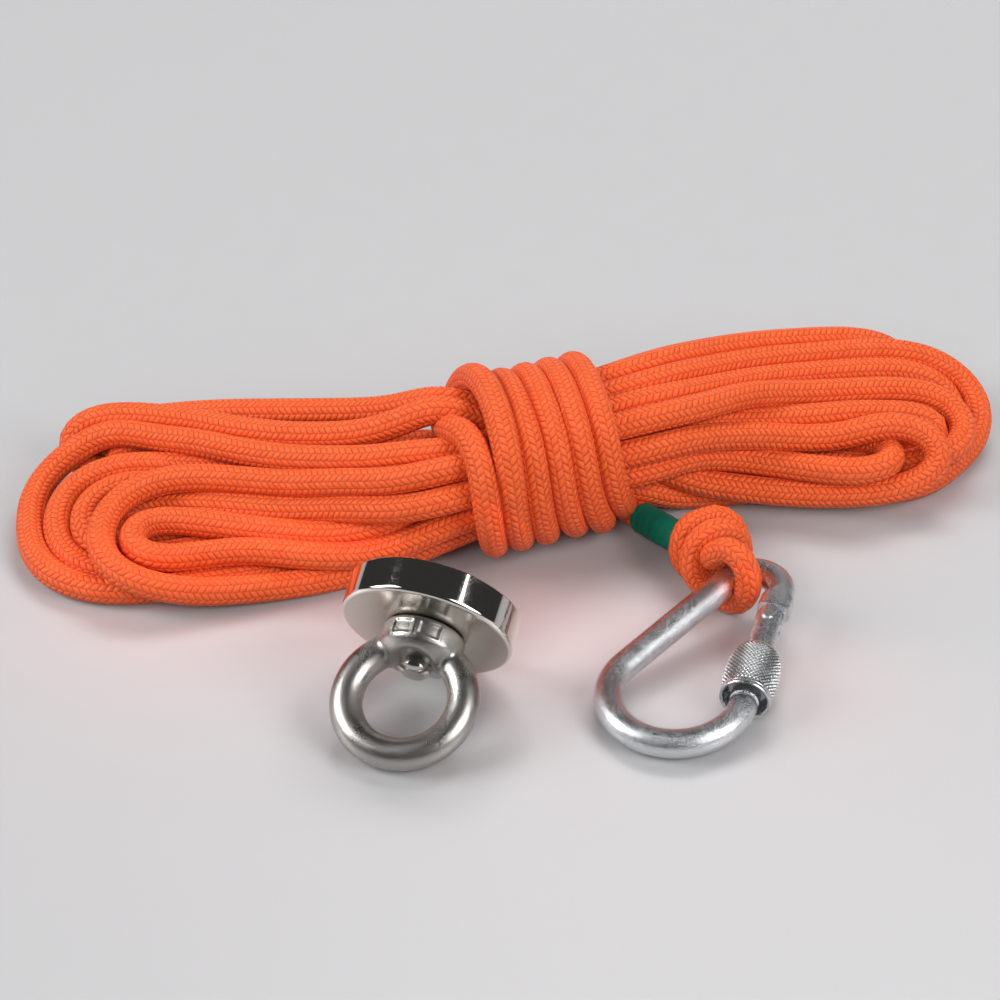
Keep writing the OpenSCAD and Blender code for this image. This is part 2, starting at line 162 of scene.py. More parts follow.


# %% [markdown]
# ## The rope's route
# The rope is one length of 7.2 mm braid. It is folded into nine long loops on each side, bound by six turns
# round the waist, and its free end leaves through a green shrunk tube to a knot round the hook. A simulation
# could pile the loops up, but it would never find this very hank, so every half loop is a short list of
# given points. The strands between left and right loops run through the waist in staggered rows.

# %% Points of the loops
ROPE_D = 7.2
LEFT = {
    "top_rear": [(-15, -7, 33), (-31, 1, 27), (-52, 8, 22), (-70, 14, 18), (-89, 18, 14),
        (-102, 19, 11), (-110, 17, 8), (-112, 15, 5), (-107, 12, 4), (-97, 11, 4), (-79, 12, 4),
        (-52, 12, 4), (-26, 7, 6)],
    "top_mid": [(-15, -13, 33), (-30, -12, 29), (-51, -6, 24), (-67, 1, 21), (-77, 8, 19),
        (-88, 13, 17), (-99, 16, 15), (-108, 17, 13), (-113, 14, 10), (-114, 12, 8), (-110, 10, 5),
        (-96, 8, 4), (-78, 6, 4), (-52, 3, 4), (-26, -2, 9)],
    "top_wide": [(-15, -21, 32), (-30, -23, 28), (-50, -16, 23), (-66, -8, 20), (-77, -2, 17),
        (-90, 6, 14), (-101, 9, 12), (-109, 8, 10), (-115, 6, 8), (-119, 0, 6), (-121, -9, 4),
        (-118, -21, 4), (-113, -33, 4), (-107, -40, 4), (-97, -43, 4), (-85, -42, 4), (-65, -37, 4),
        (-43, -30, 4), (-20, -23, 7)],
    "in_low": [(-15, -12, 25), (-30, -16, 20), (-51, -11, 16), (-69, -5, 13), (-82, -3, 12),
        (-93, -2, 12), (-100, -1, 11), (-107, -4, 10), (-112, -9, 8), (-114, -16, 6), (-113, -25, 5),
        (-108, -33, 4), (-102, -38, 4), (-92, -37, 4), (-78, -34, 4), (-55, -28, 4), (-25, -25, 10)],
    "in_lowest": [(-15, -17, 23), (-30, -18, 16), (-51, -12, 12), (-69, -8, 10), (-82, -7, 10),
        (-90, -7, 11), (-96, -9, 12), (-102, -12, 11), (-106, -17, 10), (-108, -23, 8), (-106, -30, 6),
        (-102, -34, 5), (-95, -35, 4), (-83, -32, 4), (-66, -28, 4), (-43, -25, 6), (-20, -18, 14)],
    "fore_high": [(-15, -30, 30), (-30, -31, 25), (-42, -26, 21), (-55, -20, 18), (-66, -17, 17),
        (-76, -15, 17), (-86, -15, 16), (-94, -17, 15), (-98, -23, 14), (-100, -30, 12),
        (-100, -38, 10), (-97, -44, 9), (-93, -47, 7), (-86, -47, 6), (-74, -43, 4), (-60, -40, 4),
        (-45, -37, 4), (-33, -35, 4), (-17, -30, 8)],
    "fore_small": [(-15, -26, 22), (-27, -33, 16), (-37, -33, 12), (-50, -31, 12), (-63, -29, 11),
        (-75, -26, 10), (-84, -23, 11), (-89, -24, 10), (-93, -27, 10), (-94, -34, 10), (-92, -39, 9),
        (-87, -41, 8), (-81, -40, 8), (-73, -38, 8), (-65, -36, 8), (-55, -36, 8), (-45, -36, 8),
        (-33, -35, 9), (-17, -33, 14)],
    "fore_in": [(-15, -35, 24), (-25, -35, 20), (-40, -30, 16), (-50, -26, 14), (-66, -21, 13),
        (-76, -18, 12), (-86, -14, 10), (-96, -13, 8), (-101, -16, 5), (-100, -22, 4), (-95, -26, 4),
        (-86, -26, 4), (-68, -23, 4), (-46, -19, 5), (-20, -11, 14)],
    "rear_low": [(-15, -4, 24), (-31, -1, 16), (-52, 7, 10), (-70, 11, 8), (-86, 12, 7), (-97, 11, 6),
        (-102, 7, 4), (-101, 1, 4), (-93, -2, 4), (-77, -2, 4), (-52, -2, 4), (-26, -8, 7)],
}
RIGHT = {
    "rear_high": [(37, 13, 33), (52, 24, 29), (69, 34, 25), (85, 42, 22), (96, 48, 19), (105, 51, 15),
        (110, 53, 10), (112, 52, 6), (107, 48, 4), (95, 45, 4), (75, 40, 4), (53, 33, 5), (38, 17, 14)],
    "widest": [(37, 4, 33), (52, 17, 29), (68, 29, 25), (85, 36, 22), (96, 41, 20), (107, 43, 18),
        (116, 44, 16), (122, 42, 12), (126, 38, 10), (126, 30, 7), (124, 21, 6), (120, 13, 4),
        (115, 7, 4), (106, 3, 4), (96, 1, 4), (83, 1, 4), (67, 0, 4), (52, -3, 5), (38, -8, 9)],
    "wide": [(37, -3, 33), (51, 8, 29), (62, 17, 26), (73, 24, 23), (84, 28, 21), (95, 32, 19),
        (106, 36, 17), (115, 38, 14), (120, 37, 11), (123, 33, 8), (123, 27, 6), (120, 20, 4),
        (114, 14, 4), (105, 10, 4), (89, 9, 4), (70, 6, 4), (52, 5, 5), (39, 3, 9)],
    "mid": [(36, -11, 32), (51, -2, 29), (64, 8, 25), (78, 16, 22), (91, 21, 20), (105, 25, 18),
        (113, 27, 16), (119, 26, 14), (122, 23, 11), (122, 18, 9), (120, 12, 7), (115, 7, 6),
        (108, 4, 6), (96, 4, 4), (81, 4, 4), (62, 3, 5), (49, 0, 9), (38, 1, 15)],
    "mid_low": [(36, -9, 26), (51, 0, 25), (67, 7, 21), (83, 10, 19), (93, 13, 18), (104, 16, 16),
        (112, 18, 15), (116, 16, 13), (118, 12, 11), (116, 9, 8), (112, 8, 6), (104, 9, 5),
        (91, 10, 4), (73, 11, 4), (52, 9, 9), (39, 7, 15)],
    "fore": [(36, -16, 26), (51, -5, 23), (61, 0, 20), (75, 2, 18), (88, 4, 16), (98, 5, 16),
        (107, 7, 15), (113, 6, 14), (116, 2, 12), (114, -1, 10), (110, -2, 8), (103, -3, 6),
        (93, -2, 5), (80, -1, 4), (65, -2, 5), (49, -6, 9), (38, -7, 15)],
    "fore_small": [(37, -15, 19), (51, -3, 17), (62, -1, 14), (72, -2, 13), (81, -4, 12), (88, -7, 12),
        (96, -8, 12), (101, -5, 12), (104, 1, 12), (101, 6, 12), (94, 11, 11), (81, 14, 10),
        (65, 16, 11), (50, 17, 17), (37, 16, 23)],
    "low_mid": [(37, 1, 25), (52, 15, 20), (71, 27, 14), (91, 35, 10), (104, 37, 8), (112, 35, 6),
        (115, 31, 4), (110, 26, 4), (98, 23, 4), (79, 22, 4), (58, 17, 5), (39, -2, 11)],
    "low_rear": [(37, 9, 25), (53, 26, 19), (72, 38, 14), (89, 44, 11), (100, 47, 8), (105, 46, 5),
        (103, 40, 4), (94, 36, 4), (75, 32, 4), (53, 24, 6), (39, 12, 11)],
}
print(len(LEFT), "left loops and", len(RIGHT), "right loops")

# %% [markdown]
# ## Order of the strands
# Each row of this list goes out along a left loop, through the waist in its lower slot, round a right loop
# and back through the waist in its upper slot. A slot is a place across the waist and a height, and the
# slots lie like stacked pipes. The turns that bind the waist are given by their angle round it: 90 is over
# the top, 180 down the front and 270 underneath, with the place along the hank and how far it stands out.

# %% Slots, turns, lead and knot
ORDER = [
    ("rear_low", (3.6, 11.4), "wide", (-3.6, 30)),
    ("top_wide", (-3.6, 11.4), "low_mid", (0, 23.8)),
    ("in_lowest", (0, 17.6), "mid", (-10.8, 30)),
    ("fore_high", (-10.8, 11.4), "widest", (3.6, 30)),
    ("top_mid", (14.4, 17.6), "rear_high", (10.8, 30)),
    ("top_rear", (10.8, 11.4), "low_rear", (7.2, 23.8)),
    ("in_low", (-7.2, 17.6), "fore", (-14.4, 23.8)),
    ("fore_in", (7.2, 17.6), "mid_low", (-7.2, 23.8)),
    ("fore_small", (-14.4, 17.6), "fore_small", (14.4, 23.8))]
TURNS = [
    (110, -20.5, -2.5), (140, -19.6, -1), (185, -18.2, 0), (235, -14.5, 0), (275, -15, 0), (320, -18.5, 0),
    (360, -20, 0), (390, -18.5, 2), (420, -15, 3.5), (450, -13.2, 3), (500, -12.8, 1), (545, -12.5, 0),
    (595, -7.2, 0), (635, -8.5, 0), (680, -11, 0), (725, -9.5, 0), (770, -6.6, 0), (860, -6.1, 0),
    (905, -5.8, 0), (955, -0.8, 0), (995, -3.5, 0), (1040, -6.5, 0), (1085, -4, 0), (1130, -0.6, 0),
    (1220, 0, 0), (1265, 0.8, 0), (1315, 9.4, 0), (1355, 5, 0), (1400, 1, 0), (1445, 2.5, 0),
    (1490, 5, 0), (1580, 5.6, 0), (1625, 6.5, 0), (1675, 16, 0.5), (1715, 12.5, 0), (1760, 9, 0),
    (1805, 9.5, 0), (1850, 11.3, 0), (1940, 12.6, 0), (1985, 13.9, 0), (2010, 17, -1.5), (2030, 19, -4)]
LEAD = [(31.5, -9, 4.2), (35.5, -12.5, 4.2), (39.3, -19.6, 6), (43, -25.5, 7.6), (46.3, -29.8, 8.6)]
KNOT = [
    (49.5, -35.5, 9), (51, -41, 12), (53, -45.5, 16), (56, -48, 18.6), (58.5, -51, 18.5),
    (60.5, -53.5, 15.5), (60.5, -53.5, 10.5), (59, -51.5, 6), (56.5, -48.5, 3.8), (53.5, -45.5, 3.8),
    (51, -43, 4.5), (49, -42, 7), (48.5, -41.5, 11), (50, -39.5, 14.5), (53, -37, 16), (56.5, -35, 15),
    (59.5, -34, 11.5), (59.5, -34, 7), (56.5, -34, 4), (51.5, -34.5, 3.8), (47, -35.5, 5.5),
    (45.8, -34.5, 9), (47, -30.5, 12), (51, -27, 12.5), (55, -25, 12.2), (58.3, -26.5, 10.5),
    (59.6, -29, 8), (59, -31.5, 5.8)]
WAIST = inside(ROW, [10.6, -7.9, 0], turn("z", 11))
SKEW = 0.22
WAIST_HALF, WAIST_RISE, WAIST_MID = 22.6, 17.1, 20.7
LOOP, SLOT, BIND, FREE, TIED = range(5)


def waist(along, across, height):
    """Point of the waist in kit millimetres; the strands run a little askew to the turns."""
    along, across, height = np.broadcast_arrays(*map(np.asarray, (along, across, height)))
    return placed(np.stack([along, across + SKEW * along, height], -1), WAIST)


def binding():
    """Turns round a rounded box: across = a cos^0.8, height = b sin^0.8, sliding along the hank."""
    table = np.array(TURNS, float)
    degrees = np.arange(table[0, 0], table[-1, 0] + 1, 12.0)
    blur = np.array([1, 2, 3, 2, 1]) / 9
    along, out = (np.convolve(np.pad(np.interp(degrees, table[:, 0], column), 2, "edge"), blur, "valid")
                  for column in (table[:, 1], table[:, 2]))
    c, s = np.cos(np.radians(degrees)), np.sin(np.radians(degrees))
    across = (WAIST_HALF + out) * np.sign(c) * abs(c) ** 0.8
    height = WAIST_MID + (WAIST_RISE + out) * np.sign(s) * abs(s) ** 0.8
    return waist(along, across, height)


def rope_route():
    """All control points in order, in kit millimetres, with what each stretch is."""
    parts = []
    for step, (left, low, right, high) in enumerate(ORDER):
        last = step == len(ORDER) - 1
        parts += [(LEFT[left], LOOP), (waist([-15, 0, 15], *low), SLOT)]
        parts += [(RIGHT[right] if last else RIGHT[right][::-1], LOOP)]
        parts += [(waist([15, 0, -15], *high), SLOT)]
    parts += [(waist([-23, -24], [13, 6], [27, 32]), SLOT), (binding(), BIND), (LEAD, FREE), (KNOT, TIED)]
    kinds = np.concatenate([np.full(len(p), kind) for p, kind in parts])
    return np.concatenate([np.asarray(p, float) for p, kind in parts]), kinds


route, route_kind = rope_route()
print("route has", len(route), "points")

# %% [markdown]
# ## From a rough route to touching strands
# A smooth curve is drawn through the points and cut into equal steps. Then the strands push each other
# apart, while each stretch stays near its drawn place, keeps its length and bends smoothly. This is position
# based dynamics: whole arrays of pairs move together in each round. A last smoothing takes out the zigzags
# that tight folds are left with. It lets some strands press into each other, most of all in those folds. A
# cloth or rigid body simulation is the other way to do it.

# %% Settle the rope
def smooth_curve(points, kinds, step):
    """Catmull-Rom curve: each span blends four neighbouring points with cubic weights; then equal steps."""
    ends = np.vstack([2 * points[0] - points[1], points, 2 * points[-1] - points[-2]])
    t = np.linspace(0, 1, 12, endpoint=False)[:, None, None]
    a, b, c, d = ends[None, :-3], ends[None, 1:-2], ends[None, 2:-1], ends[None, 3:]
    fine = 0.5 * (2 * b + (c - a) * t + (2 * a - 5 * b + 4 * c - d) * t**2 + (3 * b - a - 3 * c + d) * t**3)
    fine = np.vstack([np.transpose(fine, (1, 0, 2)).reshape(-1, 3), points[-1]])
    kinds = np.append(np.repeat(kinds[:-1], 12), kinds[-1])
    far = np.concatenate([[0], np.cumsum(np.linalg.norm(np.diff(fine, axis=0), axis=1))])
    at = np.linspace(0, far[-1], int(far[-1] / step) + 1)
    even = np.stack([np.interp(at, far, fine[:, k]) for k in range(3)], 1)
    return even, kinds[np.clip(np.searchsorted(far, at), 0, len(kinds) - 1)]


def close_pairs(points, reach, apart):
    """Indices i < j of points nearer than reach, and more than apart steps from each other on the rope."""
    p = points.astype(np.float32)
    square = (p * p).sum(1)
    i, j = np.nonzero(square[:, None] + square - 2 * p @ p.T < reach**2)
    keep = j - i > apart
    return i[keep], j[keep]


def settle(start, kinds, gap, rounds=260):
    """Rounds of: push pairs apart to gap, straighten bends, keep step lengths, pull home, clear the floor."""
    home = np.array([0.012, 0.05, 0.10, 0.25, 0.35])[kinds][:, None]
    ease = np.array([1, 0.7, 0.35, 0.15, 0.05])[kinds]
    supple = np.where(kinds >= FREE, 0.1, 0.5)[:, None]
    slack = np.where(kinds == LOOP, 0.04, 0)[:, None]
    length = np.linalg.norm(np.diff(start, axis=0), axis=1, keepdims=True)
    p, n = start.copy(), len(start)
    for turn_no in range(rounds):
        if turn_no % 8 == 0:
            i, j = close_pairs(p, gap + 2.5, 6)
        d = p[j] - p[i]
        size = np.linalg.norm(d, axis=1) + 1e-9
        hit = size < gap
        a, b = i[hit], j[hit]
        push = d[hit] * ((gap - size[hit]) / size[hit])[:, None]
        share = (ease[a] / (ease[a] + ease[b]))[:, None]
        moves = np.vstack([-push * share, push * (1 - share)])
        where = np.concatenate([a, b])
        total = np.stack([np.bincount(where, moves[:, k], n) for k in range(3)], 1)
        p += 1.2 * total / np.maximum(np.bincount(where, minlength=n), 1)[:, None]
        bend = np.zeros_like(p)
        bend[1:-1] = (p[:-2] + p[2:]) / 2 - p[1:-1]
        change = np.zeros_like(p)
        change[1:-1] = (bend[:-2] + bend[2:]) / 2 - bend[1:-1]
        p += slack * bend - supple * change
        for first in (0, 1):
            e = np.arange(first, n - 1, 2)
            v = p[e + 1] - p[e]
            fix = 0.3 * v * (1 - length[e] / np.linalg.norm(v, axis=1, keepdims=True))
            p[e] += fix
            p[e + 1] -= fix
        p += home * (start - p)
        p[:, 2] = np.maximum(p[:, 2], ROPE_D / 2)
    return p


drawn, kind = smooth_curve(route, route_kind, 2.5)
settled = settle(drawn, kind, gap=6.9)
for _ in range(8):
    means = (settled[:-2] + 2 * settled[1:-1] + settled[2:]) / 4
    settled[1:-1] = np.where((kind[1:-1] == TIED)[:, None], settled[1:-1], means)
rope_line, kind = smooth_curve(settled, kind, 2.4)
rope_line[:, 2] = np.maximum(rope_line[:, 2], ROPE_D / 2)
rope_steps = np.linalg.norm(np.diff(rope_line, axis=0), axis=1)
ROPE_LEN = float(rope_steps.sum())
print("rope is", round(ROPE_LEN / 1000, 3), "m long")
print("strands moved", round(float(abs(settled - drawn).max()), 1), "mm")

# %% [markdown]
# ## Rope surface
# The tube needs a ring of points at each step that doesn't twist from one ring to the next, or the braid
# would spiral. Parallel transport does that: each ring's side direction is the last one with its part along
# the new direction taken away. A fixed up direction would be simpler, but it fails where the rope stands
# upright in the binding turns. The UV map runs round the rope and along it in rope circumferences.

# %% Rope mesh
def side_directions(line):
    """Directions of the line and a side vector carried along it: side minus its part along the direction."""
    ahead = np.gradient(line, axis=0)
    ahead /= np.linalg.norm(ahead, axis=1, keepdims=True)
    side = np.zeros_like(line)
    carried = np.cross(ahead[0], [0, 0, 1.0])
    for k, t in enumerate(ahead):
        carried = carried - t * (carried @ t)
        carried /= np.linalg.norm(carried)
        side[k] = carried
    return ahead, side, np.cross(ahead, side)


def tube_grid(line, radii, around):
    """Rings round a line: line + radius (side cos a + up sin a), one radius for each ring."""
    ahead, side, up = side_directions(line)
    a = np.arange(around) * 2 * np.pi / around
    ring = side[:, None] * np.cos(a)[:, None] + up[:, None] * np.sin(a)[:, None]
    return line[:, None] + np.asarray(radii)[:, None, None] * ring


row_line = placed(rope_line, KIT)
along = np.concatenate([[0], np.cumsum(rope_steps)])
radius = np.full(len(row_line), ROPE_D / 2)
radius[kind == TIED] = 3.25
radius = np.convolve(np.pad(radius, 3, "edge"), np.ones(7) / 7, "valid")
from_end = np.minimum(along, ROPE_LEN - along)
radius *= np.sqrt(np.clip(1 - (1 - from_end / 2.4).clip(0) ** 2, 0.25, 1))
AROUND = 24
rope = grid_piece("rope", tube_grid(row_line, radius, AROUND),
                  uv=(along / (np.pi * ROPE_D), np.arange(AROUND) / AROUND), sharp=80)
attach(rope, "rope_set")
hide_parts("rope_hank", "rope_wraps", "rope_lead", "rope_knot", "rope_eye")

# %% [markdown]
# ## Shrunk tube
# A green tube is shrunk over the lead from under the last turn to the knot. It follows the rope's own line,
# and it is a closed wall: an outer skin that swells over the strand ridges and an inner one against the rope.

# %% Shrunk tube mesh
lead_at = np.flatnonzero(kind == FREE)
lead_at = np.arange(lead_at[0] + 1, lead_at[-1] + 3)
lead_line, ignored = smooth_curve(row_line[lead_at], kind[lead_at], 0.35)
count = len(lead_line)
run = np.linspace(0, 1, count)
wave = 0.05 * np.sin(run * 61) + 0.04 * np.sin(run * 37 + 1.3)
outer = tube_grid(lead_line, 4.05 + wave - 0.25 * (run < 0.02) - 0.3 * (run > 0.985), 48)
inner = tube_grid(lead_line, np.full(count, 3.62), 48)
shrink = grid_piece("shrunk_tube", np.concatenate([outer, inner[::-1]]), closed=True, sharp=50)
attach(shrink, "rope_set")
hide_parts("heat_shrink")

# %% [markdown]
# ## Pot
# The magnet's steel cup is turned on a lathe, so its surface is one profile turned round its axis. The
# profile is closed: bore, eye side, rounded edge, wall, chamfered rim, and the hollow round the pole boss
# that the magnet fills. Corners are arcs, because a mirror finish shows every edge as a line of light.

# %% Pot mesh
def corner(r, z, size, start, sweep, count=7):
    """Arc of a profile: centre (r, z), radius size, from start over sweep degrees."""
    a = np.radians(start + sweep * np.linspace(0, 1, count))
    return [(r + size * np.cos(t), z + size * np.sin(t)) for t in a]


def flat_run(a, b, count):
    """Evenly spaced profile points strictly between two points."""
    t = np.linspace(0, 1, count + 2)[1:-1, None]
    return (np.array(a) * (1 - t) + np.array(b) * t).tolist()


rim = corner(POT_R - 1, -1, 1, 90, -90, 9)
foot = [(POT_R, -POT_H + 0.4), (POT_R - 0.1, -POT_H + 0.18), (POT_R - 0.4, -POT_H)]
eye_side = [(4.05, 0)] + flat_run((4.05, 0), (POT_R - 1.06, 0), 5) + [(POT_R - 1.06, 0)]
wall_top = (POT_R, -1.06)
wall_foot = (POT_R, foot[0][1] + 0.06)
wall = [wall_top] + flat_run(wall_top, wall_foot, 4) + [wall_foot]
hollow_run = [(18.75, -POT_H), (18.6, -POT_H + 0.15), (18.6, -3), (9.6, -3), (9.6, -POT_H + 0.15)]
boss_run = [(9.45, -POT_H), (8.45, -POT_H), (4.05, -4.4)]
profile = eye_side + rim + wall + foot + hollow_run + boss_run
pot = grid_piece("pot", placed(revolve(profile, 256)[::-1], MAGNET), closed=True, sharp=22)
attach(pot, "magnet")
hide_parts("pot_shell")

# %% [markdown]
# ## Eye nut
# The eye nut is forged: a ring grows out of a round collar with a smooth blend, and two plain panels are
# pressed into the collar's front. Two overlapping closed shapes are fused by a voxel remesh and smoothed,
# which leaves a fillet where they meet, as forging does. A boolean union would leave a hard crease there.

# %% Eye nut mesh
RING_R, BAR_R = 14.0, 4.0
a = np.arange(128) * 2 * np.pi / 128
b = np.arange(40) * 2 * np.pi / 40
ring_out = RING_R + BAR_R * np.cos(b)
ring_grid = np.stack([np.sin(a)[:, None] * ring_out, 0 * a[:, None] + BAR_R * np.sin(b),
                      18 - np.cos(a)[:, None] * ring_out], -1)
collar_profile = ([(0.01, 0.05), (9.5, 0.05), (9.62, 0.35)] + corner(9.6, 0.8, 0.4, -90, 90, 4)
                  + flat_run((10, 0.8), (10, 5.6), 6) + corner(9.2, 5.6, 0.8, 0, 60, 5)
                  + flat_run((9.6, 6.3), (6.2, 10.2), 4) + [(6.2, 10.2), (0.01, 10.4)])
collar_grid = revolve(collar_profile, 96)
hole_floor = 18 - np.sqrt(np.clip((RING_R - BAR_R + 0.05) ** 2 - collar_grid[..., 0] ** 2, 0, None))
collar_grid[..., 2] = np.minimum(collar_grid[..., 2], hole_floor)


def fused(name, grids, voxel, smoothing):
    """Several closed grids as one skin: voxel remesh, then each point drawn towards its neighbours' mean."""
    points, faces, base = [], [], 0
    for grid, closed in grids:
        points.append(grid.reshape(-1, 3))
        faces += (grid_faces(*grid.shape[:2], closed) + base).tolist()
        base += grid.shape[0] * grid.shape[1]
    mesh = bpy.data.meshes.new(name)
    mesh.from_pydata(np.vstack(points).tolist(), [], faces)
    piece = bpy.data.objects.new(name, mesh)
    bpy.context.scene.collection.objects.link(piece)
    remesh = piece.modifiers.new("fuse", "REMESH")
    remesh.mode = "VOXEL"
    remesh.voxel_size = voxel
    relax = piece.modifiers.new("relax", "SMOOTH")
    relax.factor = 0.5
    relax.iterations = smoothing
    bpy.context.view_layer.update()
    done = bpy.data.meshes.new_from_object(piece.evaluated_get(bpy.context.evaluated_depsgraph_get()))
    piece.modifiers.clear()
    piece.data = done
    return piece


def mesh_points(mesh):
    """The mesh's points as one array."""
    co = np.zeros(len(mesh.vertices) * 3)
    mesh.vertices.foreach_get("co", co)
    return co.reshape(-1, 3)


def smooth_step(x, low, high):
    """0 below low, 1 above high, and 3t^2 - 2t^3 between."""
    t = np.clip((x - low) / (high - low), 0, 1)
    return t * t * (3 - 2 * t)


eye = fused("eye_nut_piece", [(ring_grid, True), (collar_grid, False)], voxel=0.34, smoothing=36)
p = mesh_points(eye.data)
radial = np.hypot(p[:, 0], p[:, 1])
angle = np.degrees(np.arctan2(p[:, 0], p[:, 1]))
dip = np.zeros(len(p))
for middle, half in ((-20, 15.5), (20, 15.5)):
    box = np.maximum(abs(angle - middle) / half, abs(p[:, 2] - 3.25) / 1.75)
    dip += 0.38 * (1 - smooth_step(box, 0.78, 1.0)) - 0.12 * np.exp(-((box - 1.08) / 0.1) ** 2)
on_collar = (abs(radial - 10) < 0.6) & (p[:, 2] < 6)
scale = np.where(on_collar, 1 - dip / np.maximum(radial, 1), 1)
p[:, 0] *= scale
p[:, 1] *= scale
p = placed(p, MAGNET) * MM
eye.data.vertices.foreach_set("co", p.ravel())
eye.data.shade_smooth()
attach(eye, "magnet")
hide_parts("eye_nut")
print("eye nut", len(p), "points")

# %% [markdown]
# ## Screw
# A countersunk screw comes through the pot and the eye nut, and its chamfered tip shows inside the ring.

# %% Screw mesh
tip = [(3.97, 10.3), (3.9, 10.42), (2.85, 11.3), (2.7, 11.38), (1.5, 11.42), (0.01, 11.43)]
head = [(0.01, -5.7), (2.8, -5.7), (2.88, -8.55), (3.0, -8.6), (7.8, -8.6), (7.9, -8.5), (7.9, -8.3)]
shank = [(3.97, -4.35)] + flat_run((3.97, -4.35), (3.97, 10.3), 6)
screw = grid_piece("screw", placed(revolve(head + shank + tip, 96), MAGNET), sharp=20)
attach(screw, "magnet")
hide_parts("stud_screw")

# %% [markdown]
# ## Snap hook
# The hook is a round bar bent in one plane: nose, large bend, spine, small bend, and an end that is forged
# flat and stepped down to a thin tongue for the gate's fork. One section is carried along the whole bar. It
# is a superellipse, |x/w|^n + |z/t|^n = 1, whose width, thickness and power change towards the flat end.

# %% Hook mesh
def arc_points(centre, size, start, sweep, step):
    """Points in the hook's plane on an arc: centre + size (cos, sin), about one step apart."""
    count = max(int(abs(np.radians(sweep)) * size / step), 2)
    t = np.radians(start + sweep * np.linspace(0, 1, count))
    return np.stack([centre[0] + size * np.cos(t), centre[1] + size * np.sin(t)], 1)


def squared(t, power):
    """sign(t) |t|^power, which squares up a circle's sine or cosine."""
    return np.sign(t) * abs(t) ** power


spine_top = SMALL_C + [0, SMALL_R]
spine_low = BIG_C + [0, BIG_R]
spine = spine_low + np.linspace(0, 1, 60)[1:-1, None] * (spine_top - spine_low)
bends = [arc_points(BIG_C, BIG_R, 300, -210, 0.6), spine, arc_points(SMALL_C, SMALL_R, 90, -150, 0.4)]
bar = np.vstack(bends)
bar_end = bar[-1]
toward = (PIVOT - bar_end) / np.linalg.norm(PIVOT - bar_end)
REACH = float(np.linalg.norm(PIVOT - bar_end))
wide_steps = np.linspace(0.3, REACH - 4.45, 16)
thin_steps = np.linspace(REACH - 4.35, REACH + 3.3, 22)
steps = np.concatenate([wide_steps, [REACH - 4.4], thin_steps])
tongue = bar_end + steps[:, None] * toward
centre = np.vstack([bar, tongue])
far = np.concatenate([np.zeros(len(bar)), steps])
neck = smooth_step(far, 0, 3.2)
thin = (far > REACH - 4.4).astype(float)
tail = np.sqrt(np.clip(1 - ((far - REACH).clip(0) / 3.4) ** 2, 0.02, 1))
half_wide = (3.5 + 0.55 * neck * (1 - thin) - 0.1 * thin) * tail
half_thick = 3.5 - 0.55 * neck
half_thick = np.where(thin > 0, 1.5, half_thick)
power = 1 - 0.42 * neck
nose_run = np.concatenate([[0], np.cumsum(np.linalg.norm(np.diff(centre, axis=0), axis=1))])
nose_round = np.sqrt(np.clip(1 - (1 - nose_run / 0.7).clip(0) ** 2, 0.55, 1))
ahead = np.gradient(centre, axis=0)
ahead /= np.linalg.norm(ahead, axis=1, keepdims=True)
flat_side = np.stack([-ahead[:, 1], ahead[:, 0]], 1)
ring = np.arange(64) * 2 * np.pi / 64
across = squared(np.cos(ring), power[:, None]) * (half_wide * nose_round)[:, None]
height = squared(np.sin(ring), power[:, None]) * (half_thick * nose_round)[:, None]
hook_grid = np.concatenate([centre[:, None] + across[..., None] * flat_side[:, None], height[..., None]], -1)
hook = grid_piece("hook", placed(hook_grid, HOOK), sharp=38)
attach(hook, "hook")
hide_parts("hook_body")

# %% [markdown]
# ## Lock sleeve
# The sleeve is a barrel with a diamond knurl between two plain rims, and a counterbored mouth that swallows
# the nose. The knurl is real relief: two families of helical grooves cross, and each point of the barrel
# sinks by the deeper one. Bump mapping could fake it, but the outline and the mesh would stay plain.

# %% Sleeve mesh
SLEEVE_LEN, SLEEVE_BACK, RUN_R = 16.2, 0.85, 3.55
KNURLS, KNURL_DEEP = 38, 0.34
barrel = np.array([[4.45, 0], [4.9, 0.25], [5.3, 0.9], [5.75, 2.0], [6.2, 3.6], [6.45, 5.6], [6.62, 8],
                   [6.6, 10], [6.42, 12.4], [6.2, 14.3], [6.1, 15.0]])
z = np.linspace(0.0, 14.9, 130)
r = np.interp(z, barrel[:, 1], barrel[:, 0])
r = np.convolve(np.pad(r, 4, "edge"), np.ones(9) / 9, "valid")
turns = np.arange(352) * 2 * np.pi / 352
lead_in = smooth_step(z, 1.2, 2.0) * (1 - smooth_step(z, 14.0, 14.6))
one = abs((turns * KNURLS / (2 * np.pi) + z[:, None] * 0.9) % 1 - 0.5) * 2
two = abs((turns * KNURLS / (2 * np.pi) - z[:, None] * 0.9) % 1 - 0.5) * 2
groove = np.maximum(smooth_step(one, 0.5, 1.0), smooth_step(two, 0.5, 1.0))
r_knurl = r[:, None] - KNURL_DEEP * groove * lead_in[:, None]
lip = [(6.05, 15.0), (6.05, 15.12), (6.2, 15.3), (6.25, 15.6), (6.22, 16.0), (6.05, 16.18), (5.75, 16.2)]
bore = [(5.55, 16.05), (5.45, 15.6), (5.4, 12.4), (4.9, 11.6), (RUN_R + 0.1, 11.3), (RUN_R, 11.1)]
back_edge = [(RUN_R, 0.1), (RUN_R + 0.1, 0.0), (4.2, -0.02)]
inside_run = bore + flat_run((RUN_R, 11.1), (RUN_R, 0.3), 5) + back_edge
knurled = np.stack([r_knurl * np.cos(turns), r_knurl * np.sin(turns), z[:, None] + 0 * turns], -1)
sleeve_grid = np.concatenate([knurled, revolve(lip + inside_run, 352)])
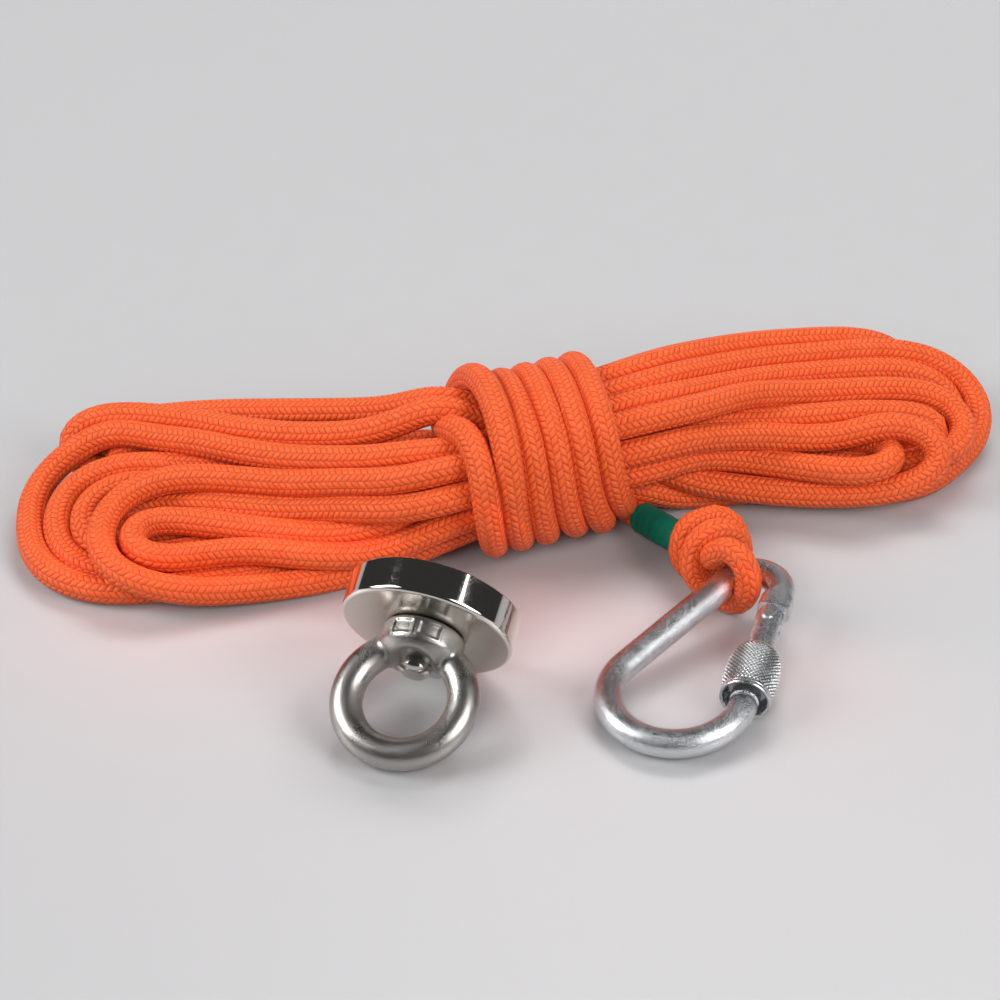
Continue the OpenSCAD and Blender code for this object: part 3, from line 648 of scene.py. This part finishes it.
SLEEVE = inside(GATE, [GATE_LEN - SLEEVE_BACK - SLEEVE_LEN, 0, 0], turn("y", 90))
sleeve = grid_piece("sleeve", placed(sleeve_grid, SLEEVE), closed=True, sharp=42)
# The groove depth is kept as a mask for painted shade that darkens the knurl grooves in colour.
knurl_shade_mask = np.zeros(sleeve_grid.shape[:2])
knurl_shade_mask[:len(z)] = groove * lead_in[:, None]
sleeve.data.attributes.new("knurl_shade_mask", "FLOAT", "POINT").data.foreach_set("value", knurl_shade_mask.ravel())
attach(sleeve, "sleeve")
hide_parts("lock_sleeve")

# %% [markdown]
# ## Building materials
# Effects that several finishes share are node groups that put out masks or heights. A tiny writer keeps
# them readable: it makes a node, sets its values and links its inputs in one call.

# %% Node writer
def node(tree, kind, values=None, **settings):
    """One shader node: settings are its options, values are input names with a number, colour or socket."""
    made = tree.nodes.new(kind)
    for key, value in settings.items():
        setattr(made, key, value)
    for key, value in (values or {}).items():
        if isinstance(value, bpy.types.NodeSocket):
            tree.links.new(value, made.inputs[key])
        else:
            made.inputs[key].default_value = value
    return made


def maths(tree, operation, a, b=0.0, c=0.0):
    """One number from up to three: add, multiply, sine and so on."""
    return node(tree, "ShaderNodeMath", {0: a, 1: b, 2: c}, operation=operation).outputs[0]


def new_group(name, inputs, outputs):
    """Empty shader group with float inputs (name: default) and float outputs."""
    tree = bpy.data.node_groups.new(name, "ShaderNodeTree")
    for key, value in inputs.items():
        socket = tree.interface.new_socket(name=key, in_out="INPUT", socket_type="NodeSocketFloat")
        socket.default_value = value
    for key in outputs:
        tree.interface.new_socket(name=key, in_out="OUTPUT", socket_type="NodeSocketFloat")
    return tree, node(tree, "NodeGroupInput").outputs, node(tree, "NodeGroupOutput").inputs


def use(tree, group, **values):
    """Places a group in a material with its own values."""
    named = {key.replace("_", " "): value for key, value in values.items()}
    return node(tree, "ShaderNodeGroup", named, node_tree=group).outputs


def finish_material(name, **surface):
    """Material with a Principled surface whose plain values are set on its own sockets."""
    material = bpy.data.materials.new(name)
    material.use_nodes = True
    tree = material.node_tree
    shader = tree.nodes["Principled BSDF"]
    for key, value in surface.items():
        shader.inputs[key.replace("_", " ")].default_value = value
    return material, tree, shader


def bump(tree, shader, height, distance, strength=1.0):
    """Feeds a height to the shader's normal."""
    made = node(tree, "ShaderNodeBump", {"Height": height, "Distance": distance, "Strength": strength})
    tree.links.new(made.outputs[0], shader.inputs["Normal"])


def blend_colour(tree, mask, low, high):
    """Colour that runs from low to high as the mask goes from 0 to 1."""
    mix = node(tree, "ShaderNodeMix", {0: mask, 6: (*low, 1), 7: (*high, 1)}, data_type="RGBA")
    return mix.outputs[2]


def range_map(tree, value, low, high, to_low, to_high):
    """Straight line from (low, high) to (to_low, to_high), held at the ends."""
    made = node(tree, "ShaderNodeMapRange", {0: value, 1: low, 2: high, 3: to_low, 4: to_high})
    return made.outputs[0]


def wear(piece, material):
    """Gives a piece its one material."""
    piece.data.materials.clear()
    piece.data.materials.append(material)


# %% [markdown]
# ## Braid
# The rope is a braid: flat bundles slant left and right in turn, so that columns of stitches
# form V shapes along it. The group works in the UV map, where one unit is a circumference both ways. Inside
# a column the stitch number is distance plus a slope times the place across the column, and its sign flips
# from column to column. Fibres are fine lines along each bundle. Geometry for thirty thousand stitches would
# pass any sensible size, so the braid is relief in the shading and the tube carries the shape.

# %% Braid group
braid, given, result = new_group("braid", {"Columns": 12, "Pitch": 13.2, "Slope": 0.55},
                                 ["Height", "Painted Groove Shade", "Fibre", "Bundle"])
uv = node(braid, "ShaderNodeUVMap", uv_map="UVMap").outputs[0]
split = node(braid, "ShaderNodeSeparateXYZ", {0: uv}).outputs
column = maths(braid, "MULTIPLY", split[0], given["Columns"])
place = maths(braid, "FRACT", column)
parity = maths(braid, "MODULO", maths(braid, "FLOOR", column), 2.0)
across_col = maths(braid, "SUBTRACT", place, 0.5)
signed = maths(braid, "MULTIPLY", across_col, maths(braid, "MULTIPLY_ADD", parity, 2.0, -1.0))
run_along = maths(braid, "MULTIPLY", split[1], given["Pitch"])
stitch = maths(braid, "MULTIPLY_ADD", signed, given["Slope"], run_along)
stitch = maths(braid, "MULTIPLY_ADD", parity, 0.5, stitch)
phase = maths(braid, "FRACT", stitch)
crown = maths(braid, "SINE", maths(braid, "MULTIPLY", phase, np.pi))
crown = maths(braid, "POWER", maths(braid, "MAXIMUM", crown, 0.0001), 0.5)
edge = maths(braid, "COSINE", maths(braid, "MULTIPLY", across_col, np.pi * 0.94))
edge = maths(braid, "POWER", maths(braid, "MAXIMUM", edge, 0.0001), 0.45)
height_out = maths(braid, "MULTIPLY", crown, edge)
# The groove mask marks where the colour gets painted shade between the bundles.
groove_shade_out = range_map(braid, height_out, 0.1, 0.62, 1.0, 0.0)
fibre_v = node(braid, "ShaderNodeCombineXYZ", {0: maths(braid, "MULTIPLY", phase, 9.0),
               1: maths(braid, "MULTIPLY", place, 1.6), 2: maths(braid, "FLOOR", stitch)}).outputs[0]
fibre_out = node(braid, "ShaderNodeTexNoise", {"Vector": fibre_v, "Scale": 1.4, "Detail": 3.0}).outputs[0]
column_number = maths(braid, "FLOOR", column)
stitch_number = maths(braid, "FLOOR", stitch)
cell = node(braid, "ShaderNodeCombineXYZ", {0: column_number, 1: stitch_number}).outputs[0]
bundle_out = node(braid, "ShaderNodeTexWhiteNoise", {"Vector": cell}, noise_dimensions="2D").outputs[0]
found = {"Height": height_out, "Painted Groove Shade": groove_shade_out, "Fibre": fibre_out, "Bundle": bundle_out}
for key, value in found.items():
    braid.links.new(value, result[key])
print("braid group has", len(braid.nodes), "nodes")

# %% [markdown]
# The polyester is a strong orange with a soft sheen. Bundles differ a little in tone, the grooves between
# them are darkened towards deep red as painted shade, and the fibres carry a fine relief.

# %% Rope material
rope_cloth, tree, shader = finish_material("braided_polyester", Roughness=0.62, Sheen_Weight=0.08,
                                           Sheen_Roughness=0.4, Sheen_Tint=(1.0, 0.55, 0.35, 1))
shader.inputs["Specular IOR Level"].default_value = 0.35
made = use(tree, braid)
shade = maths(tree, "MULTIPLY_ADD", made["Bundle"], 0.35, maths(tree, "MULTIPLY", made["Fibre"], 0.65))
lit = blend_colour(tree, shade, (0.76, 0.086, 0.015), (0.94, 0.150, 0.036))
# Painted shade: the grooves are mixed towards a dark red in the base colour.
groove_shaded_tone = node(tree, "ShaderNodeMix", {0: maths(tree, "MULTIPLY", made["Painted Groove Shade"], 0.42), 6: lit,
            7: (0.40, 0.014, 0.003, 1)}, data_type="RGBA")
tree.links.new(groove_shaded_tone.outputs[2], shader.inputs["Base Color"])
tree.links.new(range_map(tree, made["Fibre"], 0.3, 0.7, 0.42, 0.62), shader.inputs["Roughness"])
relief = maths(tree, "MULTIPLY_ADD", made["Fibre"], 0.16, made["Height"])
bump(tree, shader, relief, 0.00048)
wear(rope, rope_cloth)

# %% [markdown]
# ## Metal finishes
# Plated and polished metal is told apart by what breaks its reflections. Two groups do that: scratches are
# thin bright lines of stretched noise at several angles, and pits are small dents of the casting under the
# plating. Both only put out masks, and each finish decides what they do to its roughness and relief.

# %% Scratch and pit groups
scratch, given, result = new_group("scratches", {"Scale": 5200.0, "Amount": 0.5}, ["Lines"])
spot = node(scratch, "ShaderNodeTexCoord").outputs["Object"]
lines = 0.0
for tilt, stretch in ((0.3, 0.05), (1.4, 0.04), (2.3, 0.07)):
    aimed = node(scratch, "ShaderNodeMapping", {"Vector": spot, "Rotation": (0.4 * tilt, 1.1 * tilt, tilt),
                 "Scale": (1.0, stretch, stretch)}).outputs[0]
    grain = node(scratch, "ShaderNodeTexNoise",
                 {"Vector": aimed, "Scale": given["Scale"], "Detail": 1.0}).outputs[0]
    thin_line = maths(scratch, "POWER", maths(scratch, "SUBTRACT", 1.0, maths(
        scratch, "MULTIPLY", maths(scratch, "ABSOLUTE", maths(scratch, "SUBTRACT", grain, 0.5)), 2.0)), 60.0)
    lines = maths(scratch, "ADD", lines, thin_line)
patch = node(scratch, "ShaderNodeTexNoise", {"Vector": spot, "Scale": 160.0, "Detail": 2.0}).outputs[0]
patch = range_map(scratch, patch, 0.5, 0.68, 0.0, 1.0)
scratch.links.new(maths(scratch, "MULTIPLY", maths(scratch, "MULTIPLY", lines, patch), given["Amount"]),
                  result["Lines"])

pits, given, result = new_group("pits", {"Scale": 1500.0, "Cover": 0.55}, ["Dents", "Cloud"])
spot = node(pits, "ShaderNodeTexCoord").outputs["Object"]
fine = node(pits, "ShaderNodeTexNoise", {"Vector": spot, "Scale": given["Scale"], "Detail": 2.5}).outputs[0]
cloud = node(pits, "ShaderNodeTexNoise", {"Vector": spot, "Scale": 110.0, "Detail": 3.0}).outputs[0]
dent = node(pits, "ShaderNodeMapRange", {0: fine, 1: given["Cover"], 2: 0.75, 3: 0.0, 4: 1.0}).outputs[0]
pits.links.new(dent, result["Dents"])
pits.links.new(cloud, result["Cloud"])


def metal(name, colour, rough, pit_scale, pit_depth, scratch_amount, spread, cover=0.55):
    """Plated or polished metal: roughness = rough + spread * cloud + dents + scratches, relief from both."""
    material, tree, shader = finish_material(name, Metallic=1.0, Roughness=rough)
    dents = use(tree, pits, Scale=pit_scale, Cover=cover)
    marks = use(tree, scratch, Amount=scratch_amount)
    cloud = range_map(tree, dents["Cloud"], 0.35, 0.7, 0.0, spread)
    line_blur = maths(tree, "MULTIPLY", marks["Lines"], 0.25)
    blur = maths(tree, "ADD", maths(tree, "ADD", cloud, rough),
                 maths(tree, "MULTIPLY_ADD", dents["Dents"], spread, line_blur))
    tree.links.new(blur, shader.inputs["Roughness"])
    dull = tuple(0.8 * v for v in colour)
    tree.links.new(blend_colour(tree, dents["Dents"], colour, dull), shader.inputs["Base Color"])
    bump(tree, shader, maths(tree, "MULTIPLY_ADD", marks["Lines"], -0.3, maths(
        tree, "MULTIPLY", dents["Dents"], -1.0)), pit_depth)
    return material


nickel = metal("mirror_nickel", (0.78, 0.74, 0.69), 0.045, 6000, 0.000002, 0.4, 0.02, cover=0.62)
steel = metal("satin_steel", (0.50, 0.475, 0.45), 0.24, 6500, 0.00002, 0.5, 0.10)
zinc = metal("bright_zinc", (0.82, 0.84, 0.87), 0.17, 5200, 0.00004, 0.8, 0.12, cover=0.48)
knurl_zinc = metal("knurled_zinc", (0.70, 0.71, 0.72), 0.24, 6000, 0.00002, 0.2, 0.10)
screw_metal = metal("screw_steel", (0.70, 0.67, 0.63), 0.10, 2400, 0.00001, 0.3, 0.06)
wire = metal("spring_wire", (0.6, 0.6, 0.6), 0.25, 2400, 0.00002, 0.3, 0.1)
face_nickel = metal("satin_nickel", (0.68, 0.64, 0.58), 0.16, 6000, 0.000006, 0.6, 0.05)
for piece, finish in ((pot, nickel), (eye, steel), (screw, screw_metal), (hook, zinc), (sleeve, knurl_zinc)):
    wear(piece, finish)
# Painted shade: the knurl grooves are darkened in the sleeve's base colour by the groove mask.
tree = knurl_zinc.node_tree
shader = tree.nodes["Principled BSDF"]
knurl_shade_mask = node(tree, "ShaderNodeAttribute", attribute_name="knurl_shade_mask").outputs["Fac"]
knurl_painted_shade = blend_colour(tree, knurl_shade_mask, (0.74, 0.75, 0.76), (0.16, 0.165, 0.17))
tree.links.new(knurl_painted_shade, shader.inputs["Base Color"])
pot.data.materials.append(face_nickel)
across_face = abs(np.array([f.normal[:] for f in pot.data.polygons]) @ MAGNET[1][:, 2]) > 0.98
pot.data.polygons.foreach_set("material_index", across_face.astype(int))
kept_finishes = {"gate": zinc, "gate_pin": zinc, "gate_spring": wire, "gate_plunger": screw_metal}
for name, finish in kept_finishes.items():
    wear(nodes[name], finish)

# %% [markdown]
# ## Magnet core and shrunk tube
# Inside the pot lies a dull ferrite-grey ring in black potting resin. The shrunk tube is glossy green
# plastic with faint ripples where it gripped the braid.

# %% Ferrite, resin and shrunk tube materials
def plastic(name, low, high, rough, grain, depth, coat=0.0):
    """Moulded or cast finish: colour between two shades by a soft noise, relief from the same noise."""
    material, tree, shader = finish_material(name, Roughness=rough, Coat_Weight=coat, Coat_Roughness=0.12)
    made = use(tree, pits, Scale=grain, Cover=0.4)
    tree.links.new(blend_colour(tree, made["Cloud"], low, high), shader.inputs["Base Color"])
    blur = range_map(tree, made["Cloud"], 0.3, 0.7, rough - 0.06, rough + 0.08)
    tree.links.new(blur, shader.inputs["Roughness"])
    bump(tree, shader, made["Dents"], depth)
    return material


ferrite = plastic("ferrite_grey", (0.05, 0.05, 0.055), (0.10, 0.10, 0.105), 0.55, 2600, 0.00004)
wear(nodes["ring_magnet"], ferrite)
black_resin = plastic("potting_resin", (0.010, 0.010, 0.011), (0.022, 0.022, 0.024), 0.3, 900, 0.00002)
wear(nodes["resin_outer"], black_resin)
wear(nodes["resin_inner"], black_resin)
green = plastic("shrunk_green", (0.0, 0.12, 0.072), (0.0, 0.18, 0.11), 0.5, 420, 0.00006)
green.node_tree.nodes["Principled BSDF"].inputs["Specular IOR Level"].default_value = 0.15
wear(shrink, green)

# %% [markdown]
# ## The rope's ends
# The rope's near end is the knot on the hook, its far end is the bare end inside the hank, and the hook hangs
# on it.

# %% [markdown]
# ## Floor
# The set lies on a pale, slightly glossy sweep: a floor that curves up into a backdrop far behind.

# %% Sweep
reach = np.linspace(-1.6, 1.6, 24)
run = np.linspace(-1.8, 2.6, 90)
rise = 1.4 * smooth_step(run, 1.3, 2.6)
flat = np.zeros((len(run), len(reach)))
sweep_grid = np.stack([reach[None, :] + flat, run[:, None] + flat, rise[:, None] + flat], -1)
sweep_mesh = bpy.data.meshes.new("sweep")
rows, cols = sweep_grid.shape[:2]
r, c = np.arange(rows - 1)[:, None], np.arange(cols - 1)[None, :]
first = r * cols + c
quads = np.stack([first, first + 1, first + cols + 1, first + cols], -1).reshape(-1, 4)
sweep_mesh.from_pydata(sweep_grid.reshape(-1, 3).tolist(), [], quads.tolist())
sweep_mesh.shade_smooth()
sweep = bpy.data.objects.new("sweep", sweep_mesh)
bpy.context.scene.collection.objects.link(sweep)
paper, tree, shader = finish_material("sweep_paper", Base_Color=(0.455, 0.452, 0.46, 1), Roughness=0.36)
speck = use(tree, pits, Scale=700.0, Cover=0.5)
tree.links.new(range_map(tree, speck["Cloud"], 0.3, 0.7, 0.28, 0.36), shader.inputs["Roughness"])
wear(sweep, paper)

# %% [markdown]
# ## Light
# A soft box stands low on each side, and others hang at the back, over the backdrop and in front. The wide
# ones are hidden from reflections, and only the side boxes and a narrow strip show in the metal. With a dark
# room beyond, that gives polished metal its black bands between white ones. Four weak red lamps help the
# light that the rope throws on the floor. The Standard view keeps the orange as strong as it is set.

# %% Lights
def soft_box(name, at, aim, size, power, colour=(1, 1, 1)):
    """Rectangular area light at a point, turned so that its face looks at the aim."""
    lamp = bpy.data.lights.new(name, "AREA")
    lamp.shape = "RECTANGLE"
    lamp.size, lamp.size_y = size
    lamp.energy = power
    lamp.color = colour
    light = bpy.data.objects.new(name, lamp)
    light.location = at
    to = np.array(aim) - np.array(at)
    light.rotation_euler = (np.arctan2(np.hypot(to[0], to[1]), -to[2]), 0, np.arctan2(to[0], -to[1]) + np.pi)
    light.visible_camera = False
    bpy.context.scene.collection.objects.link(light)
    return light


MIDDLE = (0.0, 0.06, 0.0)
soft_box("box_left", (-0.85, -0.25, 0.60), MIDDLE, (0.55, 0.7), 8.5)
soft_box("box_right", (0.85, -0.20, 0.60), MIDDLE, (0.55, 0.7), 7)
soft_box("box_top", (0.0, 0.95, 1.05), (0, 0.10, 0), (0.9, 0.55), 8).visible_glossy = False
soft_box("box_strip", (0.0, 0.95, 1.05), (0, 0.10, 0), (0.9, 0.16), 3.5)
soft_box("box_back", (0.0, 0.9, 1.5), (0, 1.9, 0.5), (2.4, 0.4), 14).visible_glossy = False
soft_box("box_front", (0.1, -0.9, 0.75), MIDDLE, (0.6, 0.5), 5.5).visible_glossy = False
for number, x in enumerate((-80, -30, 20, 75)):
    near = row_line[abs(row_line[:, 0] - x) < 15]
    front = near[near[:, 2] > 12][:, 1].min()
    spill = soft_box(f"spill_{number}", (x * MM, front * MM - 0.008, 0.03), (x * MM, front * MM - 0.06, 0),
                     (0.05, 0.03), 0.005, (1.0, 0.16, 0.12))
    spill.visible_glossy = False
world = bpy.data.worlds.new("room")
bpy.context.scene.world = world
world.use_nodes = True
world.node_tree.nodes["Background"].inputs["Color"].default_value = (0.5, 0.5, 0.5, 1)
world.node_tree.nodes["Background"].inputs["Strength"].default_value = 0.07
bpy.context.scene.view_settings.view_transform = "Standard"
